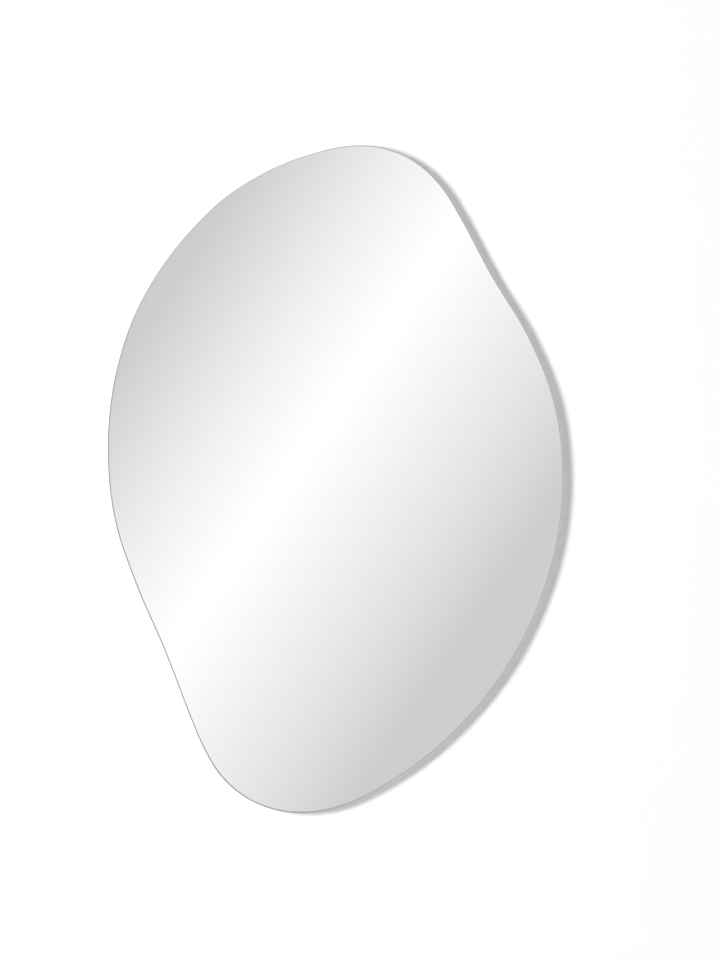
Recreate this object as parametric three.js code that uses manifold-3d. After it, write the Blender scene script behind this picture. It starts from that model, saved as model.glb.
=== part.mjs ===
// A frameless wall mirror with an irregular, pebble-like outline, and the fittings that hold it.
//
// Millimetres, +Z up. The wall's face is the plane y = 0 and the mirror looks along -Y, so every
// distance off the wall is written as a positive number and becomes -y. The origin lies on the wall
// behind the middle of the pane. Left and right are as seen from in front: left is -X.
//
// From the front: a pane with a polished arris, its silver coating with the paint on it, and a
// safety film. Four pressed steel plates are taped to the film. The upper two have a window whose
// top edge hangs in the groove of an eccentric hook, and the lower two carry a rubber bumper.
// Each hook turns on a screw that is driven into a plug in the wall.

import * as THREE from "three";
import { mergeVertices } from "three/addons/utils/BufferGeometryUtils.js";
import Module from "manifold-3d";

const wasm = await Module();
wasm.setup();

// ---- Driving dimensions ----

// The pane
const MIRROR_WIDTH = 546;
const MIRROR_HEIGHT = 800;
const GLASS_THICKNESS = 5;
const ARRIS = 1.2;
const COATING_THICKNESS = 0.1;
const COATING_SETBACK = 0.4;
const FILM_THICKNESS = 0.2;
const FILM_MARGIN = 6;
const OUTLINE_STEPS = 200;

// The outline, from the top round by the left as seen in front: x to the right, z up, from its middle.
const OUTLINE = [
  [56, 398.5],
  [14, 400.5],
  [-27, 391.5],
  [-67.5, 377],
  [-104.5, 357.5],
  [-139, 333.5],
  [-196, 272.5],
  [-240, 199.5],
  [-265, 120],
  [-273, 36.5],
  [-265, -47],
  [-239, -126.5],
  [-205.5, -204],
  [-175.5, -282],
  [-159, -321],
  [-137.5, -356.5],
  [-105, -384],
  [-65.5, -398.5],
  [-24, -399.5],
  [17, -389],
  [90, -347.5],
  [153, -292.5],
  [205, -226.5],
  [243, -152],
  [266.5, -71.5],
  [273, 11.5],
  [262, 94.5],
  [231, 172.5],
  [188, 244],
  [148.5, 318],
  [125.5, 354],
  [95, 382],
];

// Where the fittings sit
const HOOK_SPACING = 240;
const HOOK_HEIGHT = 190;
const SPACER_SPACING = 220;
const SPACER_DROP = 215;

// The eccentric hook: a grooved disc that turns off-centre on its screw
const HUB_WALL = 2.5;
const RIM_DEPTH = 2.5;
const RIM_THICKNESS = 1.5;
const RIM_CHAMFER = 0.4;
const THROW = 3;
const COLLAR_FLATS = 13;
const COLLAR_LENGTH = 3.8;
const MARK_SIZE = 1.2;

// Screw, washer and wall plug
const SCREW_RADIUS = 2.25;
const SCREW_LENGTH = 60;
const SCREW_POINT = 7;
const HEAD_RADIUS = 4.25;
const HEAD_HEIGHT = 2.6;
const HEAD_ROUNDING = 1.1;
const RECESS_SPAN = 4.6;
const RECESS_SLOT = 1;
const RECESS_DEPTH = 1.6;
const WASHER_RADIUS = 6;
const WASHER_THICKNESS = 1;
const PLUG_WALL = 1.55;
const PLUG_LENGTH = 40;
const PLUG_MOUTH = 7;
const PLUG_TEETH = 8;
const PLUG_TOOTH_DEPTH = 0.6;
const PLUG_TOOTH_RISE = 0.6;
const PLUG_SLOT = 1.2;
const PLUG_FIN = 1.1;

// The pressed plates and their tape
const SHEET = 1.2;
const PRESS_SLOPE = 4;
const BEND = 1.2;
const PLATE_CORNER = 8;
const FIELD_CORNER = 6;
const FIELD_BORDER = 11;
const FLANGE_WIDTH = 13;
const WINDOW_CORNER = 3;
const SPACER_FIELD = 30;
const TAPE_THICKNESS = 1;
const TAPE_SETBACK = 1.5;

// The bumper that keeps the lower edge off the wall
const BUMPER_RADIUS = 9;
const BUMPER_CHAMFER = 1;
const BUMPER_STEM = 3.8;
const BUMPER_BARB = 1.2;
const BUMPER_BARB_LENGTH = 2;

// Clearances and travel
const LIFT_TRAVEL = 7;
const SIDE_ROOM = 6;
const SEAT_GAP = 0.2;
const GROOVE_PLAY = 0.6;
const RUNNING_GAP = 0.15;
const BORE_GAP = 0.25;
const HEAD_ROOM = 1.2;

// How finely round things are drawn
const DISC_SEGMENTS = 48;
const SCREW_SEGMENTS = 20;
const PLUG_SEGMENTS = 20;
const BUMPER_SEGMENTS = 32;
const CORNER_STEPS = 5;
const ROUNDING_STEPS = 3;

// How far a cutting solid runs past what it cuts
const OVERSHOOT = 1;

// ---- Radii that follow the screw ----

const screwBore = SCREW_RADIUS + BORE_GAP;
const hubRadius = screwBore + THROW + HUB_WALL;
const rimRadius = hubRadius + RIM_DEPTH;
const plugBore = SCREW_RADIUS + SEAT_GAP;
const plugRadius = plugBore + PLUG_WALL;

// ---- Distances off the wall, from the wall outwards ----

const rimBack = COLLAR_LENGTH;
const grooveBack = rimBack + RIM_THICKNESS;
const fieldBack = grooveBack + GROOVE_PLAY;
const fieldFront = fieldBack + SHEET;
const grooveFront = fieldFront + GROOVE_PLAY;
const discFront = grooveFront + RIM_THICKNESS;
const washerBack = discFront + RUNNING_GAP;
const headSeat = washerBack + WASHER_THICKNESS;
const headFront = headSeat + HEAD_HEIGHT;
const filmBack = headFront + HEAD_ROOM;
const flangeFront = filmBack - TAPE_THICKNESS;
const flangeBack = flangeFront - SHEET;
const coatingBack = filmBack + FILM_THICKNESS;
const glassBack = coatingBack + COATING_THICKNESS;
const glassFront = glassBack + GLASS_THICKNESS;

// ---- The hanging window, measured from its screw ----

const hubSweep = hubRadius + THROW;
const windowTop = hubSweep + SEAT_GAP;
const windowBottom = -(hubSweep + LIFT_TRAVEL + SEAT_GAP);
const windowWidth = 2 * (hubSweep + SIDE_ROOM);
const windowHeight = windowTop - windowBottom;
const windowMiddle = (windowTop + windowBottom) / 2;

// ---- Materials ----

function finish(color, roughness, metalness) {
  return new THREE.MeshStandardMaterial({ color, roughness, metalness });
}

const materials = {
  glass: new THREE.MeshStandardMaterial({
    color: 0xcfe0d8,
    roughness: 0.02,
    metalness: 0,
    transparent: true,
    opacity: 0.35,
  }),
  silver: finish(0xeef1ef, 0.03, 1),
  film: finish(0xc9cccb, 0.55, 0),
  plate: finish(0xb9bdbf, 0.38, 1),
  tape: finish(0xf0efe9, 0.8, 0),
  rubber: finish(0x1b1b1c, 0.75, 0),
  hook: finish(0xe9e8e2, 0.4, 0),
  screw: finish(0xc9c3ae, 0.3, 1),
  plug: finish(0x8d9194, 0.6, 0),
};

// ---- Geometry helpers ----

// A closed loop of points with the corners of a rectangle rounded.
function roundedRectangle(width, height, radius) {
  const loop = [];
  const corners = [
    [width / 2 - radius, height / 2 - radius, 0],
    [-width / 2 + radius, height / 2 - radius, 1],
    [-width / 2 + radius, -height / 2 + radius, 2],
    [width / 2 - radius, -height / 2 + radius, 3],
  ];
  for (const [x, z, quarter] of corners) {
    for (let i = 0; i <= CORNER_STEPS; i++) {
      const angle = ((quarter + i / CORNER_STEPS) * Math.PI) / 2;
      loop.push(new THREE.Vector2(x + radius * Math.cos(angle), z + radius * Math.sin(angle)));
    }
  }
  return loop;
}

// A solid skinned over loops of equally many points, each given as [distance off the wall, loop].
function loft(sections) {
  const count = sections[0][1].length;
  const positions = [];
  const faces = [];
  for (const [off, loop] of sections) {
    for (const point of loop) positions.push(point.x, -off, point.y);
  }
  for (let s = 0; s + 1 < sections.length; s++) {
    for (let i = 0; i < count; i++) {
      const a = s * count + i;
      const b = s * count + ((i + 1) % count);
      faces.push(a, b, a + count, b, b + count, a + count);
    }
  }
  const last = (sections.length - 1) * count;
  for (const [a, b, c] of THREE.ShapeUtils.triangulateShape(sections[0][1], [])) faces.push(a, c, b);
  for (const [a, b, c] of THREE.ShapeUtils.triangulateShape(sections.at(-1)[1], [])) {
    faces.push(last + a, last + b, last + c);
  }
  const geometry = new THREE.BufferGeometry();
  geometry.setAttribute("position", new THREE.Float32BufferAttribute(positions, 3));
  geometry.setIndex(faces);
  return facingOut(geometry);
}

// A solid turned round an axis square to the wall, from [radius, distance off the wall] points.
function turned(profile, segments) {
  const points = profile.map(([radius, off]) => new THREE.Vector2(radius, -off));
  return facingOut(new THREE.LatheGeometry(points, segments));
}

function merged(geometry) {
  const bare = geometry.clone();
  bare.deleteAttribute("normal");
  bare.deleteAttribute("uv");
  return mergeVertices(bare, 1e-4);
}

function signedVolume(geometry) {
  const position = geometry.getAttribute("position");
  const index = geometry.getIndex();
  const [a, b, c] = [new THREE.Vector3(), new THREE.Vector3(), new THREE.Vector3()];
  let sum = 0;
  for (let i = 0; i < index.count; i += 3) {
    a.fromBufferAttribute(position, index.getX(i));
    b.fromBufferAttribute(position, index.getX(i + 1));
    c.fromBufferAttribute(position, index.getX(i + 2));
    sum += a.dot(b.cross(c));
  }
  return sum / 6;
}

// The same geometry with its vertices shared and its faces turned to point outwards.
function facingOut(geometry) {
  const solid = merged(geometry);
  if (signedVolume(solid) < 0) {
    const index = solid.getIndex();
    for (let i = 0; i < index.count; i += 3) {
      const swapped = index.getX(i + 1);
      index.setX(i + 1, index.getX(i + 2));
      index.setX(i + 2, swapped);
    }
  }
  return solid;
}

function solidOf(geometry) {
  const shared = facingOut(geometry);
  return new wasm.Manifold(
    new wasm.Mesh({
      numProp: 3,
      vertProperties: shared.getAttribute("position").array,
      triVerts: new Uint32Array(shared.getIndex().array),
    }),
  );
}

function geometryOf(solid) {
  const mesh = solid.getMesh();
  const geometry = new THREE.BufferGeometry();
  geometry.setAttribute("position", new THREE.BufferAttribute(mesh.vertProperties, 3));
  geometry.setIndex(new THREE.BufferAttribute(mesh.triVerts, 1));
  return geometry;
}

// One solid with others added to it and others cut from it.
function shaped(base, { add = [], cut = [] }) {
  let solid = solidOf(base);
  for (const geometry of add) solid = solid.add(solidOf(geometry));
  for (const geometry of cut) solid = solid.subtract(solidOf(geometry));
  return geometryOf(solid);
}

// Profile points round the outer edge of a front face.
function roundedEdge(radius, front, rounding) {
  const points = [];
  for (let i = 0; i <= ROUNDING_STEPS; i++) {
    const angle = ((i / ROUNDING_STEPS) * Math.PI) / 2;
    points.push([radius - rounding * (1 - Math.cos(angle)), front - rounding * (1 - Math.sin(angle))]);
  }
  return points;
}

// A cylinder, or with few segments a prism, from one distance off the wall to another.
function rod(radius, from, to, segments) {
  const geometry = new THREE.CylinderGeometry(radius, radius, to - from, segments);
  return geometry.translate(0, -(from + to) / 2, 0);
}

function block(width, height, from, to) {
  return new THREE.BoxGeometry(width, to - from, height).translate(0, -(from + to) / 2, 0);
}

// ---- The pane ----

// The outline as evenly spaced points, scaled to the mirror's exact width and height.
function paneOutline() {
  const curve = new THREE.CatmullRomCurve3(
    OUTLINE.map(([x, z]) => new THREE.Vector3(x, z, 0)),
    true,
    "centripetal",
  );
  const points = curve.getSpacedPoints(OUTLINE_STEPS).slice(0, OUTLINE_STEPS);
  const box = new THREE.Box3().setFromPoints(points);
  const middle = box.getCenter(new THREE.Vector3());
  const size = box.getSize(new THREE.Vector3());
  return points.map(
    (p) =>
      new THREE.Vector2(
        ((p.x - middle.x) * MIRROR_WIDTH) / size.x,
        ((p.y - middle.y) * MIRROR_HEIGHT) / size.y,
      ),
  );
}

// The outline moved inwards, square to itself.
function inset(loop, distance) {
  return loop.map((point, i) => {
    const before = loop[(i + loop.length - 1) % loop.length];
    const after = loop[(i + 1) % loop.length];
    const along = after.clone().sub(before).normalize();
    return new THREE.Vector2(point.x - along.y * distance, point.y + along.x * distance);
  });
}

const outline = paneOutline();
const flatOutline = inset(outline, ARRIS);
const coatingOutline = inset(outline, ARRIS + COATING_SETBACK);
const filmOutline = inset(outline, FILM_MARGIN);

function mirrorGlass() {
  return loft([
    [glassFront, flatOutline],
    [glassFront - ARRIS, outline],
    [glassBack + ARRIS, outline],
    [glassBack, flatOutline],
  ]);
}

function silverCoating() {
  return loft([
    [glassBack, coatingOutline],
    [coatingBack, coatingOutline],
  ]);
}

function safetyFilm() {
  return loft([
    [coatingBack, filmOutline],
    [filmBack, filmOutline],
  ]);
}

// ---- The pressed plates ----

// A sheet with a flat flange for the tape and a field pressed towards the wall.
function pressedPlate(fieldWidth, fieldHeight) {
  const baseWidth = fieldWidth + 2 * PRESS_SLOPE;
  const baseHeight = fieldHeight + 2 * PRESS_SLOPE;
  const baseCorner = FIELD_CORNER + PRESS_SLOPE;
  const flange = roundedRectangle(
    baseWidth + 2 * FLANGE_WIDTH,
    baseHeight + 2 * FLANGE_WIDTH,
    PLATE_CORNER,
  );
  const grown = (by) => roundedRectangle(baseWidth + 2 * by, baseHeight + 2 * by, baseCorner + by);
  const field = (by) => roundedRectangle(fieldWidth + 2 * by, fieldHeight + 2 * by, FIELD_CORNER + by);
  const outside = loft([
    [flangeFront, flange],
    [flangeBack, flange],
    [flangeBack, grown(BEND)],
    [flangeBack - BEND / 2, grown(BEND / 4)],
    [fieldBack + BEND / 2, field(BEND / 4)],
    [fieldBack, field(-BEND / 2)],
  ]);
  const hollow = loft([
    [flangeFront + OVERSHOOT, grown(0)],
    [flangeFront, grown(0)],
    [flangeBack - BEND / 2, grown(-SHEET)],
    [fieldFront + BEND / 2, field(-SHEET)],
    [fieldFront, field(-SHEET - BEND / 2)],
  ]);
  return { outside, hollow };
}

function hangerPlate() {
  const { outside, hollow } = pressedPlate(
    windowWidth + 2 * FIELD_BORDER,
    windowHeight + 2 * FIELD_BORDER,
  );
  const opening = roundedRectangle(windowWidth, windowHeight, WINDOW_CORNER);
  const window = loft([
    [fieldFront + OVERSHOOT, opening],
    [fieldBack - OVERSHOOT, opening],
  ]);
  return shaped(outside, { cut: [hollow, window] }).translate(0, 0, windowMiddle);
}

function spacerPlate() {
  const { outside, hollow } = pressedPlate(SPACER_FIELD, SPACER_FIELD);
  const hole = rod(
    BUMPER_STEM + SEAT_GAP,
    fieldBack - OVERSHOOT,
    fieldFront + OVERSHOOT,
    BUMPER_SEGMENTS,
  );
  return shaped(outside, { cut: [hollow, hole] });
}

// A frame of foam tape between a plate's flange and the film.
function tapeFrame(fieldWidth, fieldHeight) {
  const innerWidth = fieldWidth + 2 * (PRESS_SLOPE + TAPE_SETBACK);
  const innerHeight = fieldHeight + 2 * (PRESS_SLOPE + TAPE_SETBACK);
  const band = 2 * (FLANGE_WIDTH - 2 * TAPE_SETBACK);
  const outer = roundedRectangle(innerWidth + band, innerHeight + band, PLATE_CORNER - TAPE_SETBACK);
  const inner = roundedRectangle(innerWidth, innerHeight, FIELD_CORNER + PRESS_SLOPE + TAPE_SETBACK);
  const sheet = loft([
    [filmBack, outer],
    [flangeFront, outer],
  ]);
  const middle = loft([
    [filmBack + OVERSHOOT, inner],
    [flangeFront - OVERSHOOT, inner],
  ]);
  return shaped(sheet, { cut: [middle] });
}

function hangerTape() {
  const frame = tapeFrame(windowWidth + 2 * FIELD_BORDER, windowHeight + 2 * FIELD_BORDER);
  return frame.translate(0, 0, windowMiddle);
}

function spacerTape() {
  return tapeFrame(SPACER_FIELD, SPACER_FIELD);
}

// A rubber foot against the wall, with a stem that snaps through the plate.
function wallBumper() {
  const barbStart = fieldFront + SEAT_GAP;
  return turned(
    [
      [0, 0],
      [BUMPER_RADIUS - BUMPER_CHAMFER, 0],
      [BUMPER_RADIUS, BUMPER_CHAMFER],
      [BUMPER_RADIUS, fieldBack],
      [BUMPER_STEM, fieldBack],
      [BUMPER_STEM, barbStart],
      [BUMPER_STEM + BUMPER_BARB, barbStart],
      [BUMPER_STEM - BUMPER_BARB / 2, barbStart + BUMPER_BARB_LENGTH],
      [0, barbStart + BUMPER_BARB_LENGTH],
    ],
    BUMPER_SEGMENTS,
  );
}

// ---- The hook, its screw, washer and plug, each round its screw's axis ----

// A grooved disc with a spanner collar against the wall. Its high side, marked by a notch, is up.
function eccentricHook() {
  const disc = turned(
    [
      [0, rimBack],
      [rimRadius - RIM_CHAMFER, rimBack],
      [rimRadius, rimBack + RIM_CHAMFER],
      [rimRadius, grooveBack - RIM_CHAMFER],
      [hubRadius, grooveBack],
      [hubRadius, grooveFront],
      [rimRadius, grooveFront + RIM_CHAMFER],
      [rimRadius, discFront - RIM_CHAMFER],
      [rimRadius - RIM_CHAMFER, discFront],
      [0, discFront],
    ],
    DISC_SEGMENTS,
  ).translate(0, 0, THROW);
  const collar = rod(COLLAR_FLATS / Math.sqrt(3), 0, grooveBack, 6).rotateY(Math.PI / 6);
  const bore = rod(screwBore, -OVERSHOOT, discFront + OVERSHOOT, SCREW_SEGMENTS);
  const mark = rod(MARK_SIZE, grooveFront - OVERSHOOT, discFront + OVERSHOOT, 4);
  mark.translate(0, 0, THROW + rimRadius);
  return shaped(disc, { add: [collar], cut: [bore, mark] });
}

function hookWasher() {
  return turned(
    [
      [screwBore, washerBack],
      [WASHER_RADIUS, washerBack],
      [WASHER_RADIUS, headSeat],
      [screwBore, headSeat],
      [screwBore, washerBack],
    ],
    DISC_SEGMENTS / 2,
  );
}

// A pan-head wood screw with a cross recess.
function hookScrew() {
  const tip = headSeat - SCREW_LENGTH;
  const body = turned(
    [
      [0, tip],
      [SCREW_RADIUS, tip + SCREW_POINT],
      [SCREW_RADIUS, headSeat],
      [HEAD_RADIUS, headSeat],
      ...roundedEdge(HEAD_RADIUS, headFront, HEAD_ROUNDING),
      [0, headFront],
    ],
    SCREW_SEGMENTS,
  );
  const bottom = headFront - RECESS_DEPTH;
  const across = block(RECESS_SPAN, RECESS_SLOT, bottom, headFront + OVERSHOOT);
  const upright = block(RECESS_SLOT, RECESS_SPAN, bottom, headFront + OVERSHOOT);
  return shaped(body, { cut: [across, upright] });
}

// A nylon plug in the wall: a plain mouth, teeth along the part that spreads, and a slot through it.
function wallPlug() {
  const root = plugRadius - PLUG_TOOTH_DEPTH;
  const pitch = (PLUG_LENGTH - PLUG_MOUTH) / PLUG_TEETH;
  const profile = [
    [plugBore, 0],
    [plugRadius, 0],
    [plugRadius, -PLUG_MOUTH],
  ];
  for (let i = 0; i < PLUG_TEETH; i++) {
    profile.push([root, -(PLUG_MOUTH + pitch * i + PLUG_TOOTH_RISE)]);
    if (i < PLUG_TEETH - 1) profile.push([plugRadius, -(PLUG_MOUTH + pitch * (i + 1))]);
  }
  profile.push([(root + plugBore) / 2, -PLUG_LENGTH]);
  profile.push([plugBore, -PLUG_LENGTH]);
  profile.push([plugBore, 0]);
  const body = turned(profile, PLUG_SEGMENTS);
  const slot = block(PLUG_SLOT, 3 * plugRadius, -PLUG_LENGTH - OVERSHOOT, -PLUG_MOUTH);
  const fins = [-1, 1].map((side) =>
    block(PLUG_FIN, PLUG_FIN, -2 * PLUG_MOUTH, -PLUG_MOUTH / 2).translate(side * plugRadius, 0, 0),
  );
  return shaped(body, { add: fins, cut: [slot] });
}

// ---- Assembly ----

function piece(name, geometry, material) {
  const mesh = new THREE.Mesh(geometry, material);
  mesh.name = name;
  return mesh;
}

const SIDES = [
  ["left", -1],
  ["right", 1],
];

const mirror = new THREE.Group();
mirror.add(piece("mirror_glass", mirrorGlass(), materials.glass));
mirror.add(piece("silver_coating", silverCoating(), materials.silver));
mirror.add(piece("safety_film", safetyFilm(), materials.film));

const fixings = new THREE.Group();

for (const [side, sign] of SIDES) {
  const hanger = new THREE.Group();
  hanger.position.set((sign * HOOK_SPACING) / 2, 0, HOOK_HEIGHT);
  hanger.add(piece(`hanger_plate_${side}`, hangerPlate(), materials.plate));
  hanger.add(piece(`hanger_tape_${side}`, hangerTape(), materials.tape));
  mirror.add(hanger);

  const spacer = new THREE.Group();
  spacer.position.set((sign * SPACER_SPACING) / 2, 0, -SPACER_DROP);
  spacer.add(piece(`spacer_plate_${side}`, spacerPlate(), materials.plate));
  spacer.add(piece(`spacer_tape_${side}`, spacerTape(), materials.tape));
  spacer.add(piece(`wall_bumper_${side}`, wallBumper(), materials.rubber));
  mirror.add(spacer);

  const hook = new THREE.Group();
  hook.position.copy(hanger.position);
  hook.add(piece(`eccentric_hook_${side}`, eccentricHook(), materials.hook));
  hook.add(piece(`hook_washer_${side}`, hookWasher(), materials.screw));
  hook.add(piece(`hook_screw_${side}`, hookScrew(), materials.screw));
  hook.add(piece(`wall_plug_${side}`, wallPlug(), materials.plug));
  fixings.add(hook);
}

const assembly = new THREE.Group();
assembly.add(mirror, fixings);

export default assembly;
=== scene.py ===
import math

import bmesh
import bpy
from mathutils import Matrix, Vector


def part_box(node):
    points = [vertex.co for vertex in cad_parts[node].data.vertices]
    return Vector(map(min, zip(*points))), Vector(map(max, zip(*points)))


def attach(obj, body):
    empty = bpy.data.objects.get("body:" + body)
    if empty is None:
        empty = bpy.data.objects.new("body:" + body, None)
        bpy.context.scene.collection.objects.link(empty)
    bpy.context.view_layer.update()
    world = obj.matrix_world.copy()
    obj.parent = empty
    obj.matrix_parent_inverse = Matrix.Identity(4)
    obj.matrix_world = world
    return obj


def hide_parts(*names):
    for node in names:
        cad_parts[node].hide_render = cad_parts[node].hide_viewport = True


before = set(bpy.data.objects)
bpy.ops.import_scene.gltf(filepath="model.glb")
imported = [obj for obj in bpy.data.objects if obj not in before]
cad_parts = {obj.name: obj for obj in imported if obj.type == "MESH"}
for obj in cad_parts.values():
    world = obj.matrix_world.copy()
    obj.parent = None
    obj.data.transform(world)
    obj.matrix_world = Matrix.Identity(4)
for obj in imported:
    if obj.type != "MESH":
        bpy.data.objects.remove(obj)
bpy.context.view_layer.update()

print("frame loaded with", len(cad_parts), "nodes")

# Everything is in metres. The wall's face is y = 0, the mirror looks along -Y and +Y goes into the wall.

millimetre = 0.001
weldDistance = 1e-6
flatNormal = 0.98  # how squarely a face looks at the room to count as one of the pane's flats
fixingSides = ("left", "right")


# node helpers

def plug(tree, value, socket):
    if isinstance(value, bpy.types.NodeSocket):
        tree.links.new(value, socket)
    else:
        socket.default_value = value


def calc(tree, operation, *values, clamp=False):
    node = tree.nodes.new("ShaderNodeMath")
    node.operation = operation
    node.use_clamp = clamp
    for value, socket in zip(values, node.inputs):
        plug(tree, value, socket)
    return node.outputs[0]


def times(tree, first, second, clamp=False):
    return calc(tree, "MULTIPLY", first, second, clamp=clamp)


def spread(tree, value, fromLow, fromHigh, toLow, toHigh):
    node = tree.nodes.new("ShaderNodeMapRange")
    plug(tree, value, node.inputs["Value"])
    limits = {"From Min": fromLow, "From Max": fromHigh, "To Min": toLow, "To Max": toHigh}
    for name, limit in limits.items():
        plug(tree, limit, node.inputs[name])
    return node.outputs[0]


def blendColours(tree, factor, first, second, way="MIX"):
    node = tree.nodes.new("ShaderNodeMix")
    node.data_type = "RGBA"
    node.blend_type = way
    plug(tree, factor, node.inputs[0])
    plug(tree, first, node.inputs[6])
    plug(tree, second, node.inputs[7])
    return node.outputs[2]


def turnedVector(tree, vector, degrees, scale):
    node = tree.nodes.new("ShaderNodeMapping")
    plug(tree, vector, node.inputs["Vector"])
    node.inputs["Rotation"].default_value = (0, math.radians(degrees), 0)
    node.inputs["Scale"].default_value = scale
    return node.outputs[0]


def sizedVector(tree, vector, perMetre):
    node = tree.nodes.new("ShaderNodeVectorMath")
    node.operation = "SCALE"
    plug(tree, vector, node.inputs[0])
    plug(tree, perMetre, node.inputs["Scale"])
    return node.outputs[0]


def noise(tree, vector, scale=1.0, detail=2.0, roughness=0.5):
    node = tree.nodes.new("ShaderNodeTexNoise")
    plug(tree, vector, node.inputs["Vector"])
    plug(tree, scale, node.inputs["Scale"])
    node.inputs["Detail"].default_value = detail
    node.inputs["Roughness"].default_value = roughness
    return node.outputs[0]


def colourRamp(tree, value, stops):
    node = tree.nodes.new("ShaderNodeValToRGB")
    while len(node.color_ramp.elements) < len(stops):
        node.color_ramp.elements.new(1.0)
    for element, (position, colour) in zip(node.color_ramp.elements, stops):
        element.position = position
        element.color = (*colour, 1)
    plug(tree, value, node.inputs[0])
    return node.outputs[0]


def splitVector(tree, vector):
    node = tree.nodes.new("ShaderNodeSeparateXYZ")
    plug(tree, vector, node.inputs[0])
    return node.outputs[0], node.outputs[1], node.outputs[2]


# effects that several finishes share

def newEffect(name, inputs, outputs):
    tree = bpy.data.node_groups.new(name, "ShaderNodeTree")
    for title, kind, value in inputs:
        socket = tree.interface.new_socket(title, in_out="INPUT", socket_type=kind)
        if value is not None:
            socket.default_value = value
    for title in outputs:
        tree.interface.new_socket(title, in_out="OUTPUT", socket_type="NodeSocketFloat")
    return tree, tree.nodes.new("NodeGroupInput"), tree.nodes.new("NodeGroupOutput")


def placed(tree, effect, vector, **values):
    node = tree.nodes.new("ShaderNodeGroup")
    node.node_tree = effect
    plug(tree, vector, node.inputs["Vector"])
    for name, value in values.items():
        plug(tree, value, node.inputs[name])
    return node


def grained(tree, vector, size, contrast):
    return placed(tree, surfaceGrain, vector, Size=size, Contrast=contrast)


def specked(tree, vector, size, amount):
    return placed(tree, dustSpeckle, vector, Size=size, Amount=amount).outputs["Mask"]


def scratched(tree, vector, amount):
    return placed(tree, fineScratches, vector, Amount=amount).outputs["Mask"]


def makeGrain():
    # cloudy variation of one size, as a height and as a tone round 1
    tree, given, result = newEffect(
        "surfaceGrain",
        [
            ("Vector", "NodeSocketVector", None),
            ("Size", "NodeSocketFloat", 0.001),
            ("Contrast", "NodeSocketFloat", 0.1),
        ],
        ["Height", "Tone"],
    )
    scaled = sizedVector(tree, given.outputs["Vector"], calc(tree, "DIVIDE", 1.0, given.outputs["Size"]))
    cloud = noise(tree, scaled, 1.0, 3.0, 0.55)
    low = calc(tree, "SUBTRACT", 1.0, given.outputs["Contrast"])
    high = calc(tree, "ADD", 1.0, given.outputs["Contrast"])
    plug(tree, cloud, result.inputs["Height"])
    plug(tree, spread(tree, cloud, 0.25, 0.75, low, high), result.inputs["Tone"])
    return tree


def makeScratches():
    # thin straight marks in the plane of the wall, lying in three directions
    tree, given, result = newEffect(
        "fineScratches",
        [("Vector", "NodeSocketVector", None), ("Amount", "NodeSocketFloat", 0.5)],
        ["Mask"],
    )
    limit = spread(tree, given.outputs["Amount"], 0.0, 1.0, 0.82, 0.62)
    deepest = 0.0
    for degrees, scale in (
        (17, (90, 60, 2600)),
        (-38, (130, 60, 3300)),
        (79, (70, 60, 2200)),
    ):
        streaks = noise(tree, turnedVector(tree, given.outputs["Vector"], degrees, scale), 1.0, 1.0, 0.4)
        mark = spread(tree, streaks, limit, calc(tree, "ADD", limit, 0.04), 0.0, 1.0)
        deepest = calc(tree, "MAXIMUM", deepest, mark)
    plug(tree, deepest, result.inputs["Mask"])
    return tree


def makeSpecks():
    # small round specks, such as dust, pores or blooms, that cover the given share of their cells
    tree, given, result = newEffect(
        "dustSpeckle",
        [
            ("Vector", "NodeSocketVector", None),
            ("Size", "NodeSocketFloat", 0.001),
            ("Amount", "NodeSocketFloat", 0.3),
        ],
        ["Mask"],
    )
    cells = tree.nodes.new("ShaderNodeTexVoronoi")
    perMetre = calc(tree, "DIVIDE", 1.0, given.outputs["Size"])
    plug(tree, sizedVector(tree, given.outputs["Vector"], perMetre), cells.inputs["Vector"])
    cells.inputs["Scale"].default_value = 1.0
    chance, other, _ = splitVector(tree, cells.outputs["Color"])
    radius = spread(tree, other, 0.0, 1.0, 0.12, 0.4)
    inside = spread(tree, cells.outputs["Distance"], times(tree, radius, 0.6), radius, 1.0, 0.0)
    chosen = calc(tree, "LESS_THAN", chance, given.outputs["Amount"])
    plug(tree, times(tree, inside, chosen), result.inputs["Mask"])
    return tree


def makeWeave():
    # flat tapes woven over and under each other in the plane of the wall
    tree, given, result = newEffect(
        "plainWeave",
        [("Vector", "NodeSocketVector", None), ("Pitch", "NodeSocketFloat", 0.0025)],
        ["Height", "Gap", "Warp"],
    )
    across, _, upward = splitVector(tree, given.outputs["Vector"])
    u = calc(tree, "DIVIDE", across, given.outputs["Pitch"])
    v = calc(tree, "DIVIDE", upward, given.outputs["Pitch"])
    flats = []
    arches = []
    for along in (u, v):
        part = calc(tree, "FRACT", along)
        fromMiddle = calc(tree, "ABSOLUTE", calc(tree, "MULTIPLY_ADD", part, 2.0, -1.0))
        flats.append(times(tree, calc(tree, "SUBTRACT", 1.0, fromMiddle), 5.0, clamp=True))
        arches.append(calc(tree, "SINE", times(tree, part, math.pi)))
    floors = calc(tree, "ADD", calc(tree, "FLOOR", u), calc(tree, "FLOOR", v))
    parity = calc(tree, "FLOORED_MODULO", floors, 2.0)
    warp = times(tree, flats[0], calc(tree, "MULTIPLY_ADD", arches[1], 0.6, 0.4))
    weft = times(tree, flats[1], calc(tree, "MULTIPLY_ADD", arches[0], 0.6, 0.4))
    difference = calc(tree, "SUBTRACT", weft, warp)
    plug(tree, calc(tree, "MULTIPLY_ADD", difference, parity, warp), result.inputs["Height"])
    cover = calc(tree, "MAXIMUM", flats[0], flats[1])
    plug(tree, calc(tree, "SUBTRACT", 1.0, cover), result.inputs["Gap"])
    plug(tree, parity, result.inputs["Warp"])
    return tree


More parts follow.
